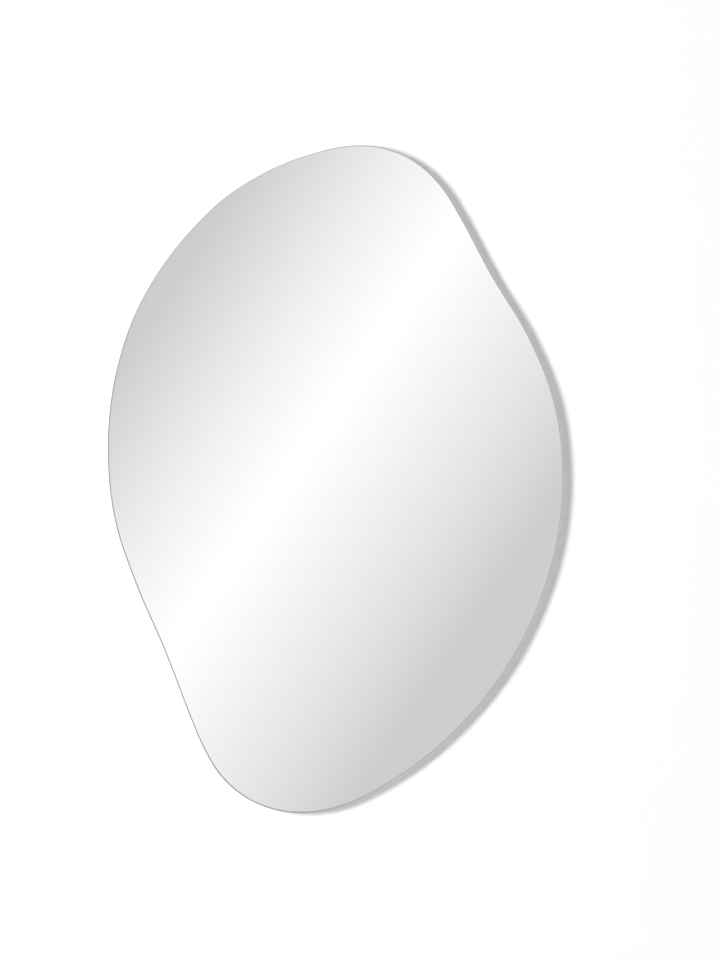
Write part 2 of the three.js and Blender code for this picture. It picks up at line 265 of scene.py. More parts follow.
surfaceGrain = makeGrain()
fineScratches = makeScratches()
dustSpeckle = makeSpecks()
plainWeave = makeWeave()
print("shared effects ready")


# finishes

def newFinish(name):
    material = bpy.data.materials.new(name)
    material.use_nodes = True
    tree = material.node_tree
    shader = tree.nodes["Principled BSDF"]
    place = tree.nodes.new("ShaderNodeTexCoord").outputs["Object"]
    return material, tree, shader, place


def surfaced(tree, shader, colour, roughness, relief, depth):
    bump = tree.nodes.new("ShaderNodeBump")
    bump.inputs["Distance"].default_value = depth
    plug(tree, relief, bump.inputs["Height"])
    plug(tree, bump.outputs[0], shader.inputs["Normal"])
    plug(tree, colour, shader.inputs["Base Color"])
    plug(tree, roughness, shader.inputs["Roughness"])


def tinted(tree, tone, colour):
    # a colour made lighter or darker by a tone round 1
    grey = tree.nodes.new("ShaderNodeCombineXYZ")
    for socket in grey.inputs:
        plug(tree, tone, socket)
    return blendColours(tree, 1.0, colour, grey.outputs[0], "MULTIPLY")


# shapes shared by the pieces

def meshFrom(bm, name):
    mesh = bpy.data.meshes.new(name)
    bm.to_mesh(mesh)
    bm.free()
    return mesh


def linked(name, data):
    item = bpy.data.objects.new(name, data)
    bpy.context.scene.collection.objects.link(item)
    return item


def boxMiddle(node):
    low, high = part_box(node)
    return (low + high) / 2


def newPiece(bm, name, material, body, node, sharpAngle=32):
    bmesh.ops.remove_doubles(bm, verts=bm.verts, dist=weldDistance)
    for face in bm.faces:
        face.smooth = len(face.verts) < 5  # many-sided faces are the flat ones
    for edge in bm.edges:
        edge.smooth = edge.is_manifold and edge.calc_face_angle() < math.radians(sharpAngle)
    mesh = meshFrom(bm, name)
    mesh.materials.append(material)
    piece = linked(name, mesh)
    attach(piece, body)
    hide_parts(node)
    return piece


def turnProfile(bm, profile, centre, steps, closed=False):
    # (radius, y) points in millimetres, turned round an axis along Y
    verts = [
        bm.verts.new((centre.x + radius * millimetre, y * millimetre, centre.z))
        for radius, y in profile
    ]
    edges = [bm.edges.new(pair) for pair in zip(verts, verts[1:])]
    if closed:
        edges.append(bm.edges.new((verts[-1], verts[0])))
    bmesh.ops.spin(
        bm, geom=verts + edges, cent=(centre.x, 0, centre.z), axis=(0, 1, 0),
        angle=2 * math.pi, steps=steps, use_merge=True,
    )
    bmesh.ops.remove_doubles(bm, verts=bm.verts, dist=weldDistance)
    bmesh.ops.recalc_face_normals(bm, faces=bm.faces)


def softenEdges(bm, width, segments, sharperThan):
    sharp = [
        edge for edge in bm.edges
        if edge.is_manifold and edge.calc_face_angle() > math.radians(sharperThan)
    ]
    bmesh.ops.bevel(
        bm, geom=sharp, offset=width, offset_type="OFFSET", affect="EDGES",
        segments=segments, profile=0.5, material=-1, clamp_overlap=True,
    )


def roundedLoop(bm, centre, width, height, corner, y, segments):
    # the edges of a rectangle with round corners that faces the wall
    upright = Matrix.Translation((centre.x, y, centre.z)) @ Matrix.Rotation(math.radians(-90), 4, "X")
    size = Matrix.Diagonal((width / 2, height / 2, 1, 1))
    grid = bmesh.ops.create_grid(bm, x_segments=1, y_segments=1, size=1, matrix=upright @ size)
    rounded = bmesh.ops.bevel(
        bm, geom=grid["verts"], offset=corner, offset_type="OFFSET", affect="VERTICES",
        segments=segments, profile=0.5, material=-1,
    )
    face = rounded["verts"][0].link_faces[0]
    edges = list(face.edges)
    bmesh.ops.delete(bm, geom=[face], context="FACES_ONLY")
    return edges


def fillBetween(bm, outer, inner):
    # level loops are bridged a little apart, because they can be joined crosswise otherwise
    apart = Vector((0, 0.01, 0))
    verts = list({vert for edge in inner for vert in edge.verts})
    bmesh.ops.translate(bm, verts=verts, vec=apart)
    bmesh.ops.bridge_loops(bm, edges=outer + inner)
    bmesh.ops.translate(bm, verts=verts, vec=-apart)


def temporarySolid(bm, name):
    bmesh.ops.remove_doubles(bm, verts=bm.verts, dist=weldDistance)
    bmesh.ops.recalc_face_normals(bm, faces=bm.faces)
    return linked(name, meshFrom(bm, name))


def combine(base, added, cut):
    # one bmesh from a solid, the solids added to it and the solids cut from it
    for operation, tools in (("UNION", added), ("DIFFERENCE", cut)):
        for tool in tools:
            step = base.modifiers.new("combine", "BOOLEAN")
            step.operation = operation
            step.solver = "EXACT"
            step.object = tool
    bpy.context.view_layer.update()
    evaluated = base.evaluated_get(bpy.context.evaluated_depsgraph_get())
    mesh = bpy.data.meshes.new_from_object(evaluated)
    bm = bmesh.new()
    bm.from_mesh(mesh)
    bpy.data.meshes.remove(mesh)
    for solid in (base, *added, *cut):
        bpy.data.meshes.remove(solid.data)
    bmesh.ops.remove_doubles(bm, verts=bm.verts, dist=weldDistance)
    return bm


def thicken(bm, thickness):
    # a flat face or frame of faces at the back gets a thickness towards the room
    grown = bmesh.ops.extrude_face_region(bm, geom=bm.faces[:])
    moved = [part for part in grown["geom"] if isinstance(part, bmesh.types.BMVert)]
    bmesh.ops.translate(bm, verts=moved, vec=(0, -thickness, 0))
    bmesh.ops.recalc_face_normals(bm, faces=bm.faces)


def outlineSolid(node, depth, thickness, cuts, smoothing):
    # the outline that a CAD solid has at one depth, made finer and given a thickness towards the room
    bm = bmesh.new()
    bm.from_mesh(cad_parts[node].data)
    bmesh.ops.remove_doubles(bm, verts=bm.verts, dist=weldDistance)
    others = [vert for vert in bm.verts if abs(vert.co.y - depth) > 10 * weldDistance]
    bmesh.ops.delete(bm, geom=others, context="VERTS")
    if bm.faces:
        bmesh.ops.dissolve_faces(bm, faces=bm.faces[:])
    else:
        bmesh.ops.contextual_create(bm, geom=bm.edges[:])
    bmesh.ops.subdivide_edges(bm, edges=bm.edges[:], cuts=cuts)
    for _ in range(smoothing):
        bmesh.ops.smooth_vert(
            bm, verts=bm.verts, factor=0.5, use_axis_x=True, use_axis_y=False, use_axis_z=True,
        )
    thicken(bm, thickness)
    return bm


print("helpers ready")


# the pane

pane = {
    "outlineDepth": 0.0012,  # from the solid's back to where it has its full outline
    "arris": 0.0009,
    "polishRounding": 0.00012,
    "outlineCuts": 2,
    "outlineSmoothing": 4,
    "absorbedColour": (0.35, 0.925, 0.65, 1),
    "absorbedDensity": 4.0,
    "arrisRoughness": 0.06,
    "edgeColour": (0.47, 0.58, 0.53, 1),
    "edgeSkin": 0.00003,
    "edgeStand": 0.00001,
}


def glassFinish():
    material, tree, shader, place = newFinish("polishedGlass")
    shader.inputs["Base Color"].default_value = (1, 1, 1, 1)
    shader.inputs["IOR"].default_value = 1.52
    shader.inputs["Transmission Weight"].default_value = 1.0
    facing = splitVector(tree, tree.nodes.new("ShaderNodeTexCoord").outputs["Normal"])[1]
    isEdge = calc(tree, "LESS_THAN", calc(tree, "ABSOLUTE", facing), flatNormal)
    grinding = grained(tree, place, 0.0006, 0.35).outputs["Tone"]
    rubbed = times(tree, grinding, pane["arrisRoughness"])
    plug(tree, times(tree, isEdge, rubbed), shader.inputs["Roughness"])
    volume = tree.nodes.new("ShaderNodeVolumeAbsorption")
    volume.inputs["Color"].default_value = pane["absorbedColour"]
    volume.inputs["Density"].default_value = pane["absorbedDensity"]
    plug(tree, volume.outputs[0], tree.nodes["Material Output"].inputs["Volume"])
    return material


def edgeFinish():
    # ground to a satin, with faint marks along the edge where the wheel ran
    material, tree, shader, place = newFinish("satinEdge")
    marks = grained(tree, turnedVector(tree, place, 0, (60, 5200, 60)), 1.0, 0.07)
    clouds = grained(tree, place, 0.009, 0.06).outputs["Tone"]
    chips = specked(tree, place, 0.0009, 0.1)
    tone = times(tree, marks.outputs["Tone"], clouds)
    tone = times(tree, tone, spread(tree, chips, 0.0, 1.0, 1.0, 1.25))
    dull = spread(tree, marks.outputs["Height"], 0.3, 0.7, 0.2, 0.34)
    relief = calc(tree, "MULTIPLY_ADD", chips, -0.5, marks.outputs["Height"])
    surfaced(tree, shader, tinted(tree, tone, pane["edgeColour"]), dull, relief, 0.00001)
    return material


def paneShape():
    low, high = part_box("mirror_glass")
    thickness = high.y - low.y
    bm = outlineSolid(
        "mirror_glass", high.y - pane["outlineDepth"], thickness - 2 * pane["arris"],
        pane["outlineCuts"], pane["outlineSmoothing"],
    )
    bmesh.ops.translate(bm, verts=bm.verts, vec=(0, pane["outlineDepth"] - pane["arris"], 0))
    for cap in [face for face in bm.faces if len(face.verts) > 4]:
        bmesh.ops.inset_region(
            bm, faces=[cap], thickness=pane["arris"], depth=pane["arris"], use_even_offset=True,
        )
    return bm


def makePane():
    bm = paneShape()
    softenEdges(bm, pane["polishRounding"], 2, 30)
    return newPiece(bm, "polishedPane", glassFinish(), "mirror", "mirror_glass")


def paneSkin(bm, kept, stand, thickness, name, material, node):
    # a thin layer on some of the pane's faces, that stands a little outside them
    others = [face for face in bm.faces if not kept(face)]
    bmesh.ops.delete(bm, geom=others, context="FACES")
    bm.normal_update()
    for vert in bm.verts:
        vert.co += vert.normal * stand
    piece = newPiece(bm, name, material, "mirror", node)
    layer = piece.modifiers.new("layer", "SOLIDIFY")
    layer.thickness = thickness
    layer.offset = -1.0
    return piece


def makeEdge():
    return paneSkin(
        paneShape(), lambda face: len(face.verts) < 5 and abs(face.normal.y) < 0.1,
        pane["edgeStand"], pane["edgeSkin"], "satinEdge", edgeFinish(), "mirror_glass",
    )


makePane()
makeEdge()
print("pane ready")


# the silver layer, with the protective paint behind it

silver = {
    "bite": 0.00005,  # how far its face lies inside the glass
    "reach": 0.0006,  # how far it runs out towards the arris
    "metalColour": (0.955, 0.957, 0.95, 1),
    "paintColour": (0.33, 0.35, 0.355, 1),
    "paintGrain": 0.0009,
    "paintRoughness": 0.42,
    "sealLap": 0.0004,
    "sealThickness": 0.00004,
}


def silverFinish():
    material, tree, shader, place = newFinish("silverAndPaint")
    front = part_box("silver_coating")[0].y
    depth = splitVector(tree, place)[1]
    facing = splitVector(tree, tree.nodes.new("ShaderNodeTexCoord").outputs["Normal"])[1]
    inFront = calc(tree, "LESS_THAN", depth, front - silver["bite"] / 2)
    isMetal = times(tree, inFront, calc(tree, "LESS_THAN", facing, -flatNormal))
    isPaint = calc(tree, "SUBTRACT", 1.0, isMetal)
    grain = grained(tree, place, silver["paintGrain"], 0.05)
    drift = grained(tree, place, 0.07, 0.06).outputs["Tone"]
    paint = tinted(tree, times(tree, grain.outputs["Tone"], drift), silver["paintColour"])
    plug(tree, isMetal, shader.inputs["Metallic"])
    colour = blendColours(tree, isPaint, silver["metalColour"], paint)
    dull = times(tree, isPaint, silver["paintRoughness"])
    surfaced(tree, shader, colour, dull, times(tree, grain.outputs["Height"], isPaint), 0.00006)
    return material


def makeSilver(material):
    low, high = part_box("silver_coating")
    bm = outlineSolid(
        "silver_coating", high.y, high.y - low.y + silver["bite"],
        pane["outlineCuts"], pane["outlineSmoothing"],
    )
    bm.normal_update()
    for vert in bm.verts:
        vert.co += Vector((vert.normal.x, 0, vert.normal.z)).normalized() * silver["reach"]
    return newPiece(bm, "silverLayer", material, "mirror", "silver_coating")


def makeEdgeSeal(material):
    # the paint laps over the rear arris, against damp
    bm = paneShape()
    caps = [face for face in bm.faces if len(face.verts) > 4]
    rear = max(caps, key=lambda face: face.calc_center_median().y)
    bmesh.ops.inset_region(bm, faces=[rear], thickness=silver["sealLap"], depth=0, use_even_offset=True)
    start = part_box("mirror_glass")[1].y - pane["arris"]
    return paneSkin(
        bm, lambda face: len(face.verts) < 5 and face.calc_center_median().y > start,
        silver["sealThickness"] / 2, silver["sealThickness"], "edgeSeal", material,
        "silver_coating",
    )


silverAndPaint = silverFinish()
makeSilver(silverAndPaint)
makeEdgeSeal(silverAndPaint)
print("silver layer ready")


# the woven safety film

film = {
    "pitch": 0.0026,
    "colour": (0.73, 0.745, 0.75, 1),
    "weaveHeight": 0.00016,
    "creaseHeight": 0.0012,
}


def filmFinish():
    material, tree, shader, place = newFinish("wovenFilm")
    sway = grained(tree, place, 0.06, 0.1)
    weave = placed(tree, plainWeave, place, Pitch=film["pitch"])
    creases = noise(tree, turnedVector(tree, place, 8, (34, 1, 5)), 1.0, 2.0, 0.45)
    bubbles = specked(tree, place, 0.034, 0.16)
    strand = grained(tree, turnedVector(tree, place, 0, (400, 1, 12)), 1.0, 0.05)
    # the warp tapes a little darker than the weft: a painted sheen difference between the two directions of
    # tape
    paintedWarpSheen = spread(tree, weave.outputs["Warp"], 0.0, 1.0, 1.0, 0.945)
    gapTone = spread(tree, weave.outputs["Gap"], 0.0, 1.0, 1.0, 0.72)
    tone = times(tree, times(tree, paintedWarpSheen, gapTone), strand.outputs["Tone"])
    tone = times(tree, tone, spread(tree, sway.outputs["Height"], 0.3, 0.7, 0.97, 1.02))
    dull = spread(tree, weave.outputs["Height"], 0.0, 1.0, 0.62, 0.4)
    relief = times(tree, weave.outputs["Height"], film["weaveHeight"] / film["creaseHeight"])
    relief = calc(tree, "MULTIPLY_ADD", creases, 0.5, relief)
    relief = calc(tree, "MULTIPLY_ADD", bubbles, 0.12, relief)
    surfaced(tree, shader, tinted(tree, tone, film["colour"]), dull, relief, film["creaseHeight"])
    return material


def makeFilm():
    low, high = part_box("safety_film")
    bm = outlineSolid(
        "safety_film", high.y, high.y - low.y, pane["outlineCuts"], pane["outlineSmoothing"],
    )
    return newPiece(bm, "wovenSafetyFilm", filmFinish(), "mirror", "safety_film")


makeFilm()
print("film ready")


# the pressed steel plates

plates = {
    "sheet": 0.0012,
    "bendRadius": 0.0016,
    "bendSegments": 4,
    "slope": 0.004,
    "flange": 0.013,
    "corner": 0.008,
    "fieldCorner": 0.006,
    "border": 0.011,  # of the field round the window
    "windowCorner": 0.003,
    "spacerHole": 0.004,
    "cornerSegments": 7,
    "cutEdge": 0.00016,
    "zincColour": (0.66, 0.68, 0.69, 1),
    "spangle": 0.0042,
}


def zincFinish():
    material, tree, shader, place = newFinish("brightZinc")
    cells = tree.nodes.new("ShaderNodeTexVoronoi")
    wobble = grained(tree, place, 0.006, 0.2).outputs["Height"]
    sheared = tree.nodes.new("ShaderNodeVectorMath")
    sheared.operation = "ADD"
    plug(tree, sizedVector(tree, place, 1 / plates["spangle"]), sheared.inputs[0])
    plug(tree, wobble, sheared.inputs[1])
    plug(tree, sheared.outputs[0], cells.inputs["Vector"])
    cells.inputs["Scale"].default_value = 1.0
    shade, other, _ = splitVector(tree, cells.outputs["Color"])
    clouds = grained(tree, place, 0.022, 0.08)
    marks = scratched(tree, place, 0.3)
    specks = specked(tree, place, 0.0028, 0.12)
    tone = times(tree, spread(tree, shade, 0.0, 1.0, 0.93, 1.06), clouds.outputs["Tone"])
    tone = times(tree, tone, spread(tree, specks, 0.0, 1.0, 1.0, 0.82))
    shader.inputs["Metallic"].default_value = 1.0
    dull = calc(tree, "ADD", spread(tree, other, 0.0, 1.0, 0.3, 0.42), times(tree, specks, 0.2))
    dull = calc(tree, "MULTIPLY_ADD", marks, 0.12, dull)
    relief = times(tree, calc(tree, "SUBTRACT", shade, marks), 0.12)
    relief = calc(tree, "MULTIPLY_ADD", clouds.outputs["Height"], 0.9, relief)
    surfaced(tree, shader, tinted(tree, tone, plates["zincColour"]), dull, relief, 0.00003)
    return material


def makePlate(name, node, material, hole):
    low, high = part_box(node)
    middle = (low + high) / 2
    bend = low.y + plates["sheet"]
    size = high - low
    baseWidth = size.x - 2 * plates["flange"]
    baseHeight = size.z - 2 * plates["flange"]
    fieldWidth = baseWidth - 2 * plates["slope"]
    fieldHeight = baseHeight - 2 * plates["slope"]
    steps = plates["cornerSegments"]
    baseCorner = plates["fieldCorner"] + plates["slope"]
    bm = bmesh.new()
    rim = roundedLoop(bm, middle, size.x, size.z, plates["corner"], bend, steps)
    base = roundedLoop(bm, middle, baseWidth, baseHeight, baseCorner, bend, steps)
    field = roundedLoop(bm, middle, fieldWidth, fieldHeight, plates["fieldCorner"], high.y, steps)
    if hole == "window":
        border = 2 * plates["border"]
        inner = roundedLoop(
            bm, middle, fieldWidth - border, fieldHeight - border, plates["windowCorner"], high.y, steps,
        )
    else:
        corners = 4 * (steps + 1)
        place = Matrix.Translation((middle.x, high.y, middle.z))
        turn = Matrix.Rotation(math.radians(-90), 4, "X") @ Matrix.Rotation(math.pi / corners, 4, "Z")
        circle = bmesh.ops.create_circle(
            bm, cap_ends=False, radius=plates["spacerHole"], segments=corners, matrix=place @ turn,
        )
        inner = list({edge for vert in circle["verts"] for edge in vert.link_edges})
    for outer, nearer in ((rim, base), (base, field), (field, inner)):
        fillBetween(bm, outer, nearer)
    bmesh.ops.recalc_face_normals(bm, faces=bm.faces)
    if sum(face.normal.y * face.calc_area() for face in bm.faces) < 0:
        bmesh.ops.reverse_faces(bm, faces=bm.faces)
    bmesh.ops.bevel(
        bm, geom=base + field, offset=plates["bendRadius"], offset_type="OFFSET", affect="EDGES",
        segments=plates["bendSegments"], profile=0.5, material=-1,
    )
    piece = newPiece(bm, name, material, "mirror", node, 60)
    wallModifier = piece.modifiers.new("sheet", "SOLIDIFY")
    wallModifier.thickness = plates["sheet"]
    wallModifier.offset = -1.0
    wallModifier.use_even_offset = True
    edgeModifier = piece.modifiers.new("cutEdge", "BEVEL")
    edgeModifier.width = plates["cutEdge"]
    edgeModifier.segments = 2
    edgeModifier.limit_method = "ANGLE"
    edgeModifier.angle_limit = math.radians(50)
    edgeModifier.harden_normals = True
    return piece


zinc = zincFinish()
for side in fixingSides:
    makePlate("pressedHanger_" + side, "hanger_plate_" + side, zinc, "window")
    makePlate("pressedSpacer_" + side, "spacer_plate_" + side, zinc, "round")
print("plates ready")


# the foam tape under the plates

tape = {
    "band": 0.010,
    "outerCorner": 0.0065,
    "innerCorner": 0.0115,
    "cornerSegments": 6,
    "edgeRounding": 0.00018,
    "colour": (0.86, 0.86, 0.83, 1),
    "poreSize": 0.0007,
}


def foamFinish():
    material, tree, shader, place = newFinish("whiteFoam")
    shadedPores = specked(tree, place, tape["poreSize"], 0.6)
    clouds = grained(tree, place, 0.006, 0.04).outputs["Tone"]
    grain = grained(tree, place, 0.0004, 0.05).outputs["Height"]
    # darker in the pores: painted shade inside them, besides their real dents and duller surface
    tone = times(tree, clouds, spread(tree, shadedPores, 0.0, 1.0, 1.0, 0.8))
    dull = spread(tree, shadedPores, 0.0, 1.0, 0.75, 0.95)
    relief = calc(tree, "SUBTRACT", times(tree, grain, 0.4), shadedPores)
    surfaced(tree, shader, tinted(tree, tone, tape["colour"]), dull, relief, 0.00012)
    return material


def makeTape(name, node, material):
    low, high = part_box(node)
    middle = (low + high) / 2
    size = high - low
    band = 2 * tape["band"]
    steps = tape["cornerSegments"]
    bm = bmesh.new()
    outer = roundedLoop(bm, middle, size.x, size.z, tape["outerCorner"], high.y, steps)
    inner = roundedLoop(bm, middle, size.x - band, size.z - band, tape["innerCorner"], high.y, steps)
    fillBetween(bm, outer, inner)
    thicken(bm, size.y)
    softenEdges(bm, tape["edgeRounding"], 2, 60)
    return newPiece(bm, name, material, "mirror", node)


foam = foamFinish()
for side in fixingSides:
    makeTape("hangerFoam_" + side, "hanger_tape_" + side, foam)
    makeTape("spacerFoam_" + side, "spacer_tape_" + side, foam)
print("tape ready")


# the rubber feet that keep the lower edge off the wall

foot = {
    "profile": (
        (0, -0.7), (2.1, -0.7), (2.5, -0.6), (2.8, -0.3), (3.0, -0.06), (3.2, 0), (4.3, 0), (4.5, -0.08),
        (4.65, -0.35), (4.85, -0.45), (5.05, -0.35), (5.2, -0.08), (5.4, 0), (6.5, 0), (6.7, -0.08),
        (6.85, -0.35), (7.05, -0.45), (7.25, -0.35), (7.4, -0.08), (7.6, 0), (8.0, 0), (8.38, -0.08),
        (8.71, -0.29), (8.92, -0.62), (9.0, -1.0), (9.0, -2.5), (8.93, -2.6), (8.93, -2.75), (9.0, -2.85),
        (9.0, -5.5), (8.93, -5.75), (8.75, -5.88), (8.5, -5.9), (4.0, -5.9), (3.85, -5.95), (3.8, -6.1),
        (3.8, -7.2), (3.85, -7.28), (4.0, -7.3), (4.8, -7.3), (4.95, -7.36), (5.0, -7.5), (4.95, -7.7),
        (3.55, -9.05), (3.35, -9.25), (3.1, -9.3), (0, -9.3),
    ),
    "steps": 64,
    "colour": (0.035, 0.035, 0.037, 1),
    "dustColour": (0.32, 0.31, 0.29, 1),
    "dustStrength": 0.35,
}


def rubberFinish():
    material, tree, shader, place = newFinish("mattRubber")
    grain = grained(tree, place, 0.00045, 0.12)
    bloom = grained(tree, place, 0.008, 0.3).outputs["Height"]
    dust = specked(tree, place, 0.0011, 0.1)
    tone = times(tree, grain.outputs["Tone"], spread(tree, bloom, 0.35, 0.7, 0.85, 1.5))
    dusted = times(tree, dust, foot["dustStrength"])
    colour = blendColours(tree, dusted, tinted(tree, tone, foot["colour"]), foot["dustColour"])
    dull = spread(tree, bloom, 0.3, 0.7, 0.62, 0.82)
    surfaced(tree, shader, colour, dull, grain.outputs["Height"], 0.00005)
    return material


def makeFoot(name, node, material):
    bm = bmesh.new()
    turnProfile(bm, foot["profile"], boxMiddle(node), foot["steps"])
    return newPiece(bm, name, material, "mirror", node, 50)


rubber = rubberFinish()
for side in fixingSides:
    makeFoot("rubberFoot_" + side, "wall_bumper_" + side, rubber)
print("feet ready")


# the eccentric hooks

hook = {
    "throw": 0.003,  # from the screw's axis to the disc's middle
    "disc": (
        (0, -3.8), (10.1, -3.8), (10.38, -3.88), (10.5, -4.15), (10.5, -4.75), (10.42, -4.95), (10.2, -5.05),
        (8.25, -5.28), (8.08, -5.36), (8.0, -5.55), (8.0, -7.45), (8.08, -7.64), (8.25, -7.72), (10.2, -7.95),
        (10.42, -8.05), (10.5, -8.25), (10.5, -8.85), (10.38, -9.12), (10.1, -9.2), (9.1, -9.2), (8.9, -9.15),
        (8.75, -8.95), (8.5, -8.9), (8.25, -8.95), (8.1, -9.15), (7.9, -9.2), (0, -9.2),
    ),
    "bore": (
        (0, -9.5), (3.0, -9.5), (2.75, -9.1), (2.5, -8.9), (2.5, -0.3), (2.75, -0.1), (3.0, 0.3), (0, 0.3),
    ),
    "flats": 0.013,
    "collarLength": 0.0038,
    "collarBite": 0.001,  # how far the collar runs on inside the disc
    "collarRounding": 0.0003,
    "dish": ((0, 1), (5.3, 1), (5.3, 0.2), (5.1, -0.4), (4.8, -0.6), (0, -0.6)),
    "notch": 0.0012,
    "notchLength": 0.0032,
    "steps": 96,
    "boreSteps": 64,
    "colour": (0.85, 0.85, 0.81, 1),
}


def nylonFinish(name, colour, grainSize):
    material, tree, shader, place = newFinish(name)
    grain = grained(tree, place, grainSize, 0.04)
    flow = grained(tree, turnedVector(tree, place, 25, (1, 1, 0.3)), 0.004, 0.05)
    rubs = scratched(tree, place, 0.25)
    dust = specked(tree, place, 0.0013, 0.06)
    tone = times(tree, grain.outputs["Tone"], flow.outputs["Tone"])
    tone = times(tree, tone, spread(tree, dust, 0.0, 1.0, 1.0, 0.8))
    dull = calc(tree, "MULTIPLY_ADD", rubs, 0.2, spread(tree, flow.outputs["Height"], 0.3, 0.7, 0.36, 0.5))
    relief = calc(tree, "MULTIPLY_ADD", rubs, -0.6, grain.outputs["Height"])
    surfaced(tree, shader, tinted(tree, tone, colour), dull, relief, 0.00003)
    return material


def hexPrism(axis, flats, start, end, rounding):
    # six flats with two of them level, from one depth to another
    bm = bmesh.new()
    place = Matrix.Translation((axis.x, (start + end) / 2, axis.z))
    turn = Matrix.Rotation(math.radians(90), 4, "X") @ Matrix.Rotation(math.radians(90), 4, "Z")
    radius = flats / math.sqrt(3)
    bmesh.ops.create_cone(
        bm, cap_ends=True, cap_tris=False, segments=6, radius1=radius, radius2=radius, depth=abs(end - start),
        matrix=place @ turn,
    )
    bmesh.ops.recalc_face_normals(bm, faces=bm.faces)
    softenEdges(bm, rounding, 3, 30)
    return bm


def makeHook(name, node, body, material, axis):
    disc = bmesh.new()
    centre = axis + Vector((0, 0, hook["throw"]))
    turnProfile(disc, hook["disc"], centre, hook["steps"])
    collarEnd = -hook["collarLength"] - hook["collarBite"]
    collar = hexPrism(axis, hook["flats"], 0, collarEnd, hook["collarRounding"])
    dish = bmesh.new()
    turnProfile(dish, hook["dish"], axis, hook["boreSteps"])
    bore = bmesh.new()
    turnProfile(bore, hook["bore"], axis, hook["boreSteps"])
    mark = bmesh.new()
    low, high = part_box(node)
    place = Matrix.Translation((axis.x, low.y, high.z)) @ Matrix.Rotation(math.radians(90), 4, "X")
    bmesh.ops.create_cone(
        mark, cap_ends=True, cap_tris=False, segments=4, radius1=hook["notch"], radius2=hook["notch"],
        depth=hook["notchLength"], matrix=place,
    )
    cuts = [temporarySolid(tool, name + "Cut") for tool in (mark, bore, dish)]
    bm = combine(temporarySolid(disc, name + "Disc"), [temporarySolid(collar, name + "Collar")], cuts)
    return newPiece(bm, name, material, body, node, 38)


whiteNylon = nylonFinish("whiteNylon", hook["colour"], 0.0004)
screwAxes = {}
for side in fixingSides:
    washerMiddle = boxMiddle("hook_washer_" + side)
    screwAxes[side] = Vector((washerMiddle.x, 0, washerMiddle.z))
for side in fixingSides:
    makeHook("nylonHook_" + side, "eccentric_hook_" + side, "eccentric_" + side, whiteNylon, screwAxes[side])
print("hooks ready")


# washers and screws

screw = {
    "core": (
        (0, 49.65), (0.5, 48.9), (1.45, 45.0), (1.55, 43.5), (1.55, 4.0), (1.7, 3.2), (2.15, 2.4),
        (2.25, 2.1), (2.25, -9.9), (2.35, -10.25), (2.6, -10.35), (4.05, -10.35), (4.2, -10.42),
        (4.25, -10.6), (4.25, -11.85), (4.18, -12.2), (4.0, -12.5), (3.7, -12.73), (3.3, -12.87),
        (2.7, -12.94), (0, -12.95),
    ),
    "crest": 2.25,
    "root": 1.45,
    "threadStart": 3.0,
    "threadEnd": 48.6,
    "pitch": 2.2,
    "frontFlank": 0.55,
    "backFlank": 0.4,
    "crestLand": 0.07,  # half the flat along the crest
    "tipShare": 0.06,  # of the radius, that is left at the tip
    "turnSteps": 28,
    "taperStart": 42.0,
    "tip": 49.65,
    "recessSpan": 0.0046,
    "recessSlot": 0.001,
    "recessDepth": 0.0016,
    "recessStart": 0.0004,  # how far in front of the head the cut begins
    "recessTaper": 0.5,
    "steps": 48,
    "colour": (0.78, 0.68, 0.42, 1),
}

washer = {
    "profile": (
        (2.65, -9.35), (5.8, -9.35), (5.95, -9.4), (6.0, -9.55), (6.0, -10.1), (5.9, -10.28), (5.7, -10.35),
        (2.75, -10.35), (2.55, -10.28), (2.5, -10.15), (2.5, -9.5), (2.55, -9.4),
    ),
    "steps": 64,
}


def yellowZincFinish():
    material, tree, shader, place = newFinish("yellowZinc")
    drift = grained(tree, place, 0.0035, 0.1)
    grain = grained(tree, place, 0.0005, 0.06)
    marks = scratched(tree, place, 0.35)
    sheen = colourRamp(tree, drift.outputs["Height"], (
        (0.3, (0.86, 0.66, 0.42)),
        (0.45, (0.82, 0.72, 0.42)),
        (0.55, (0.72, 0.74, 0.47)),
        (0.7, (0.8, 0.6, 0.5)),
    ))
    colour = blendColours(tree, 0.55, screw["colour"], sheen)
    shader.inputs["Metallic"].default_value = 1.0
    dull = spread(tree, marks, 0.0, 1.0, 0.26, 0.42)
    relief = calc(tree, "MULTIPLY_ADD", marks, -0.5, grain.outputs["Height"])
    surfaced(tree, shader, tinted(tree, grain.outputs["Tone"], colour), dull, relief, 0.00002)
    return material


def threadRidge(bm, axis):
    # a helix of one pointed section that narrows with the tip
    steps = round((screw["threadEnd"] - screw["threadStart"]) / screw["pitch"] * screw["turnSteps"])
    start = screw["threadStart"]
    root = screw["root"]
    crest = screw["crest"]
    land = screw["crestLand"]
    section = (
        (root, start - screw["frontFlank"]), (crest, start - land),
        (crest, start + land), (root, start + screw["backFlank"]),
    )
    verts = [
        bm.verts.new((axis.x + radius * millimetre, y * millimetre, axis.z))
        for radius, y in section
    ]
    face = bm.faces.new(verts)
    bmesh.ops.spin(
        bm, geom=[face, *face.edges, *verts], cent=axis, axis=(0, 1, 0),
        dvec=(0, screw["pitch"] * millimetre / screw["turnSteps"], 0),
        angle=2 * math.pi * steps / screw["turnSteps"], steps=steps, use_merge=False,
    )
    bmesh.ops.recalc_face_normals(bm, faces=bm.faces)
    room = screw["tip"] - screw["taperStart"]
    for vert in bm.verts:
        past = vert.co.y / millimetre - screw["taperStart"]
        share = min(max(1 - past / room, screw["tipShare"]), 1)
        vert.co.x = axis.x + (vert.co.x - axis.x) * share
        vert.co.z = axis.z + (vert.co.z - axis.z) * share
        vert.co.y = min(vert.co.y, screw["tip"] * millimetre)


